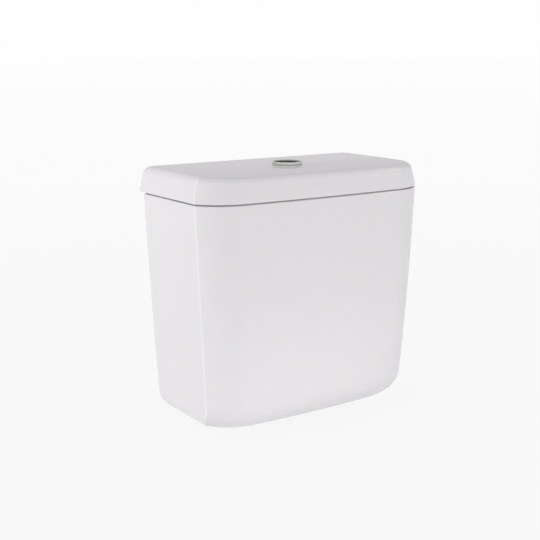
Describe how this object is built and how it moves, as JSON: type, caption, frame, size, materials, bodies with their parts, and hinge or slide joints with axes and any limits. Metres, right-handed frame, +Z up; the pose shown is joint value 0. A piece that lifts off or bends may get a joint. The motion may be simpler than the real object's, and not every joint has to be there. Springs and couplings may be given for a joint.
{
  "type": "toilet cistern",
  "caption": "Close-coupled toilet cistern: tapered china tank and lift-off lid, dual flush push button, drop flush valve and bottom entry float valve.",
  "frame": {"origin": "on the flush outlet's axis, in the plane of the tank's foot", "axes": "+Z up, the front faces -Y, the wall side faces +Y, +X to the right seen from the front"},
  "size_m": [0.3862, 0.2001, 0.3808],
  "materials": {
    "vitreous_china": "glossy white glaze",
    "chrome_plated_abs": "mirror chrome plate",
    "white_polypropylene": "moulded, semi gloss",
    "grey_polypropylene": "moulded, satin",
    "blue_polypropylene": "moulded, satin",
    "black_rubber": "moulded, matt",
    "red_silicone": "moulded silicone, matt",
    "stainless_steel": "drawn wire",
    "clear_pvc": "clear, flexible"
  },
  "bodies": {
    "cistern": {"tank": "vitreous_china", "doughnut_washer": "black_rubber", "flush_valve_base": "grey_polypropylene", "flush_valve_washer": "black_rubber", "flush_valve_backnut": "grey_polypropylene", "flush_valve_tower": "white_polypropylene", "rocker_bridge": "white_polypropylene", "rocker_pins": "stainless_steel", "fill_valve_riser": "white_polypropylene", "fill_valve_washer": "black_rubber", "fill_valve_backnut": "white_polypropylene", "inlet_filter": "blue_polypropylene", "outlet_sleeve": "white_polypropylene", "fill_valve_head": "white_polypropylene", "fill_valve_diaphragm": "black_rubber", "fill_valve_cap": "grey_polypropylene", "float_arm_pin": "stainless_steel"},
    "lid": {"lid": "vitreous_china", "button_housing": "white_polypropylene", "button_seal": "clear_pvc", "button_bezel": "chrome_plated_abs", "button_nut_washer": "black_rubber", "button_nut": "white_polypropylene", "full_flush_spring": "stainless_steel", "half_flush_spring": "stainless_steel"},
    "full_button": {"full_flush_button": "chrome_plated_abs", "full_flush_push_rod": "white_polypropylene"},
    "half_button": {"half_flush_button": "chrome_plated_abs", "half_flush_push_rod": "blue_polypropylene"},
    "full_rocker": {"full_flush_rocker": "white_polypropylene"},
    "half_rocker": {"half_flush_rocker": "blue_polypropylene"},
    "flush_tube": {"overflow_tube": "white_polypropylene", "flush_seal": "red_silicone", "full_flush_float": "white_polypropylene", "lift_yoke": "white_polypropylene"},
    "half_lift": {"half_flush_rod": "blue_polypropylene", "half_flush_float": "blue_polypropylene"},
    "fill_float": {"fill_float": "grey_polypropylene", "float_adjusting_rod": "white_polypropylene", "float_adjusting_clip": "blue_polypropylene"},
    "float_arm": {"float_arm": "white_polypropylene"}
  },
  "joints": [
    {"name": "lid_lift", "type": "slide", "parent": "cistern", "child": "lid", "axis": [0, 0, 1], "range_m": [0, 0.15]},
    {"name": "full_button_press", "type": "slide", "parent": "lid", "child": "full_button", "axis": [0, 0, -1], "range_m": [0, 0.0076], "stiffness_N_per_m": 150, "springref_m": -0.01, "deforming": ["full_flush_spring"]},
    {"name": "half_button_press", "type": "slide", "parent": "lid", "child": "half_button", "axis": [0, 0, -1], "range_m": [0, 0.0076], "stiffness_N_per_m": 150, "springref_m": -0.01, "deforming": ["half_flush_spring"]},
    {"name": "full_rocker_turn", "type": "hinge", "parent": "cistern", "child": "full_rocker", "pos_m": [0, 0.013, 0.274], "axis": [1, 0, 0], "range_deg": [0, 34]},
    {"name": "half_rocker_turn", "type": "hinge", "parent": "cistern", "child": "half_rocker", "pos_m": [0, -0.013, 0.274], "axis": [-1, 0, 0], "range_deg": [0, 34]},
    {"name": "flush_tube_lift", "type": "slide", "parent": "cistern", "child": "flush_tube", "axis": [0, 0, 1], "range_m": [0, 0.01696]},
    {"name": "half_flush_lift", "type": "slide", "parent": "cistern", "child": "half_lift", "axis": [0, 0, 1], "range_m": [0, 0.01696]},
    {"name": "fill_float_rise", "type": "slide", "parent": "cistern", "child": "fill_float", "axis": [0, 0, 1], "range_m": [0, 0.012]},
    {"name": "float_arm_turn", "type": "hinge", "parent": "cistern", "child": "float_arm", "pos_m": [0.111, 0.008, 0.268], "axis": [0, 1, 0], "range_deg": [0, 26.68]}
  ],
  "couplings": [
    {"joint": "full_rocker_turn", "follows": "full_button_press", "rad_per_m": 78.059},
    {"joint": "flush_tube_lift", "follows": "full_button_press", "ratio": 2.2307},
    {"joint": "half_rocker_turn", "follows": "half_button_press", "rad_per_m": 78.059},
    {"joint": "half_flush_lift", "follows": "half_button_press", "ratio": 2.2307},
    {"joint": "float_arm_turn", "follows": "fill_float_rise", "rad_per_m": 38.811}
  ]
}
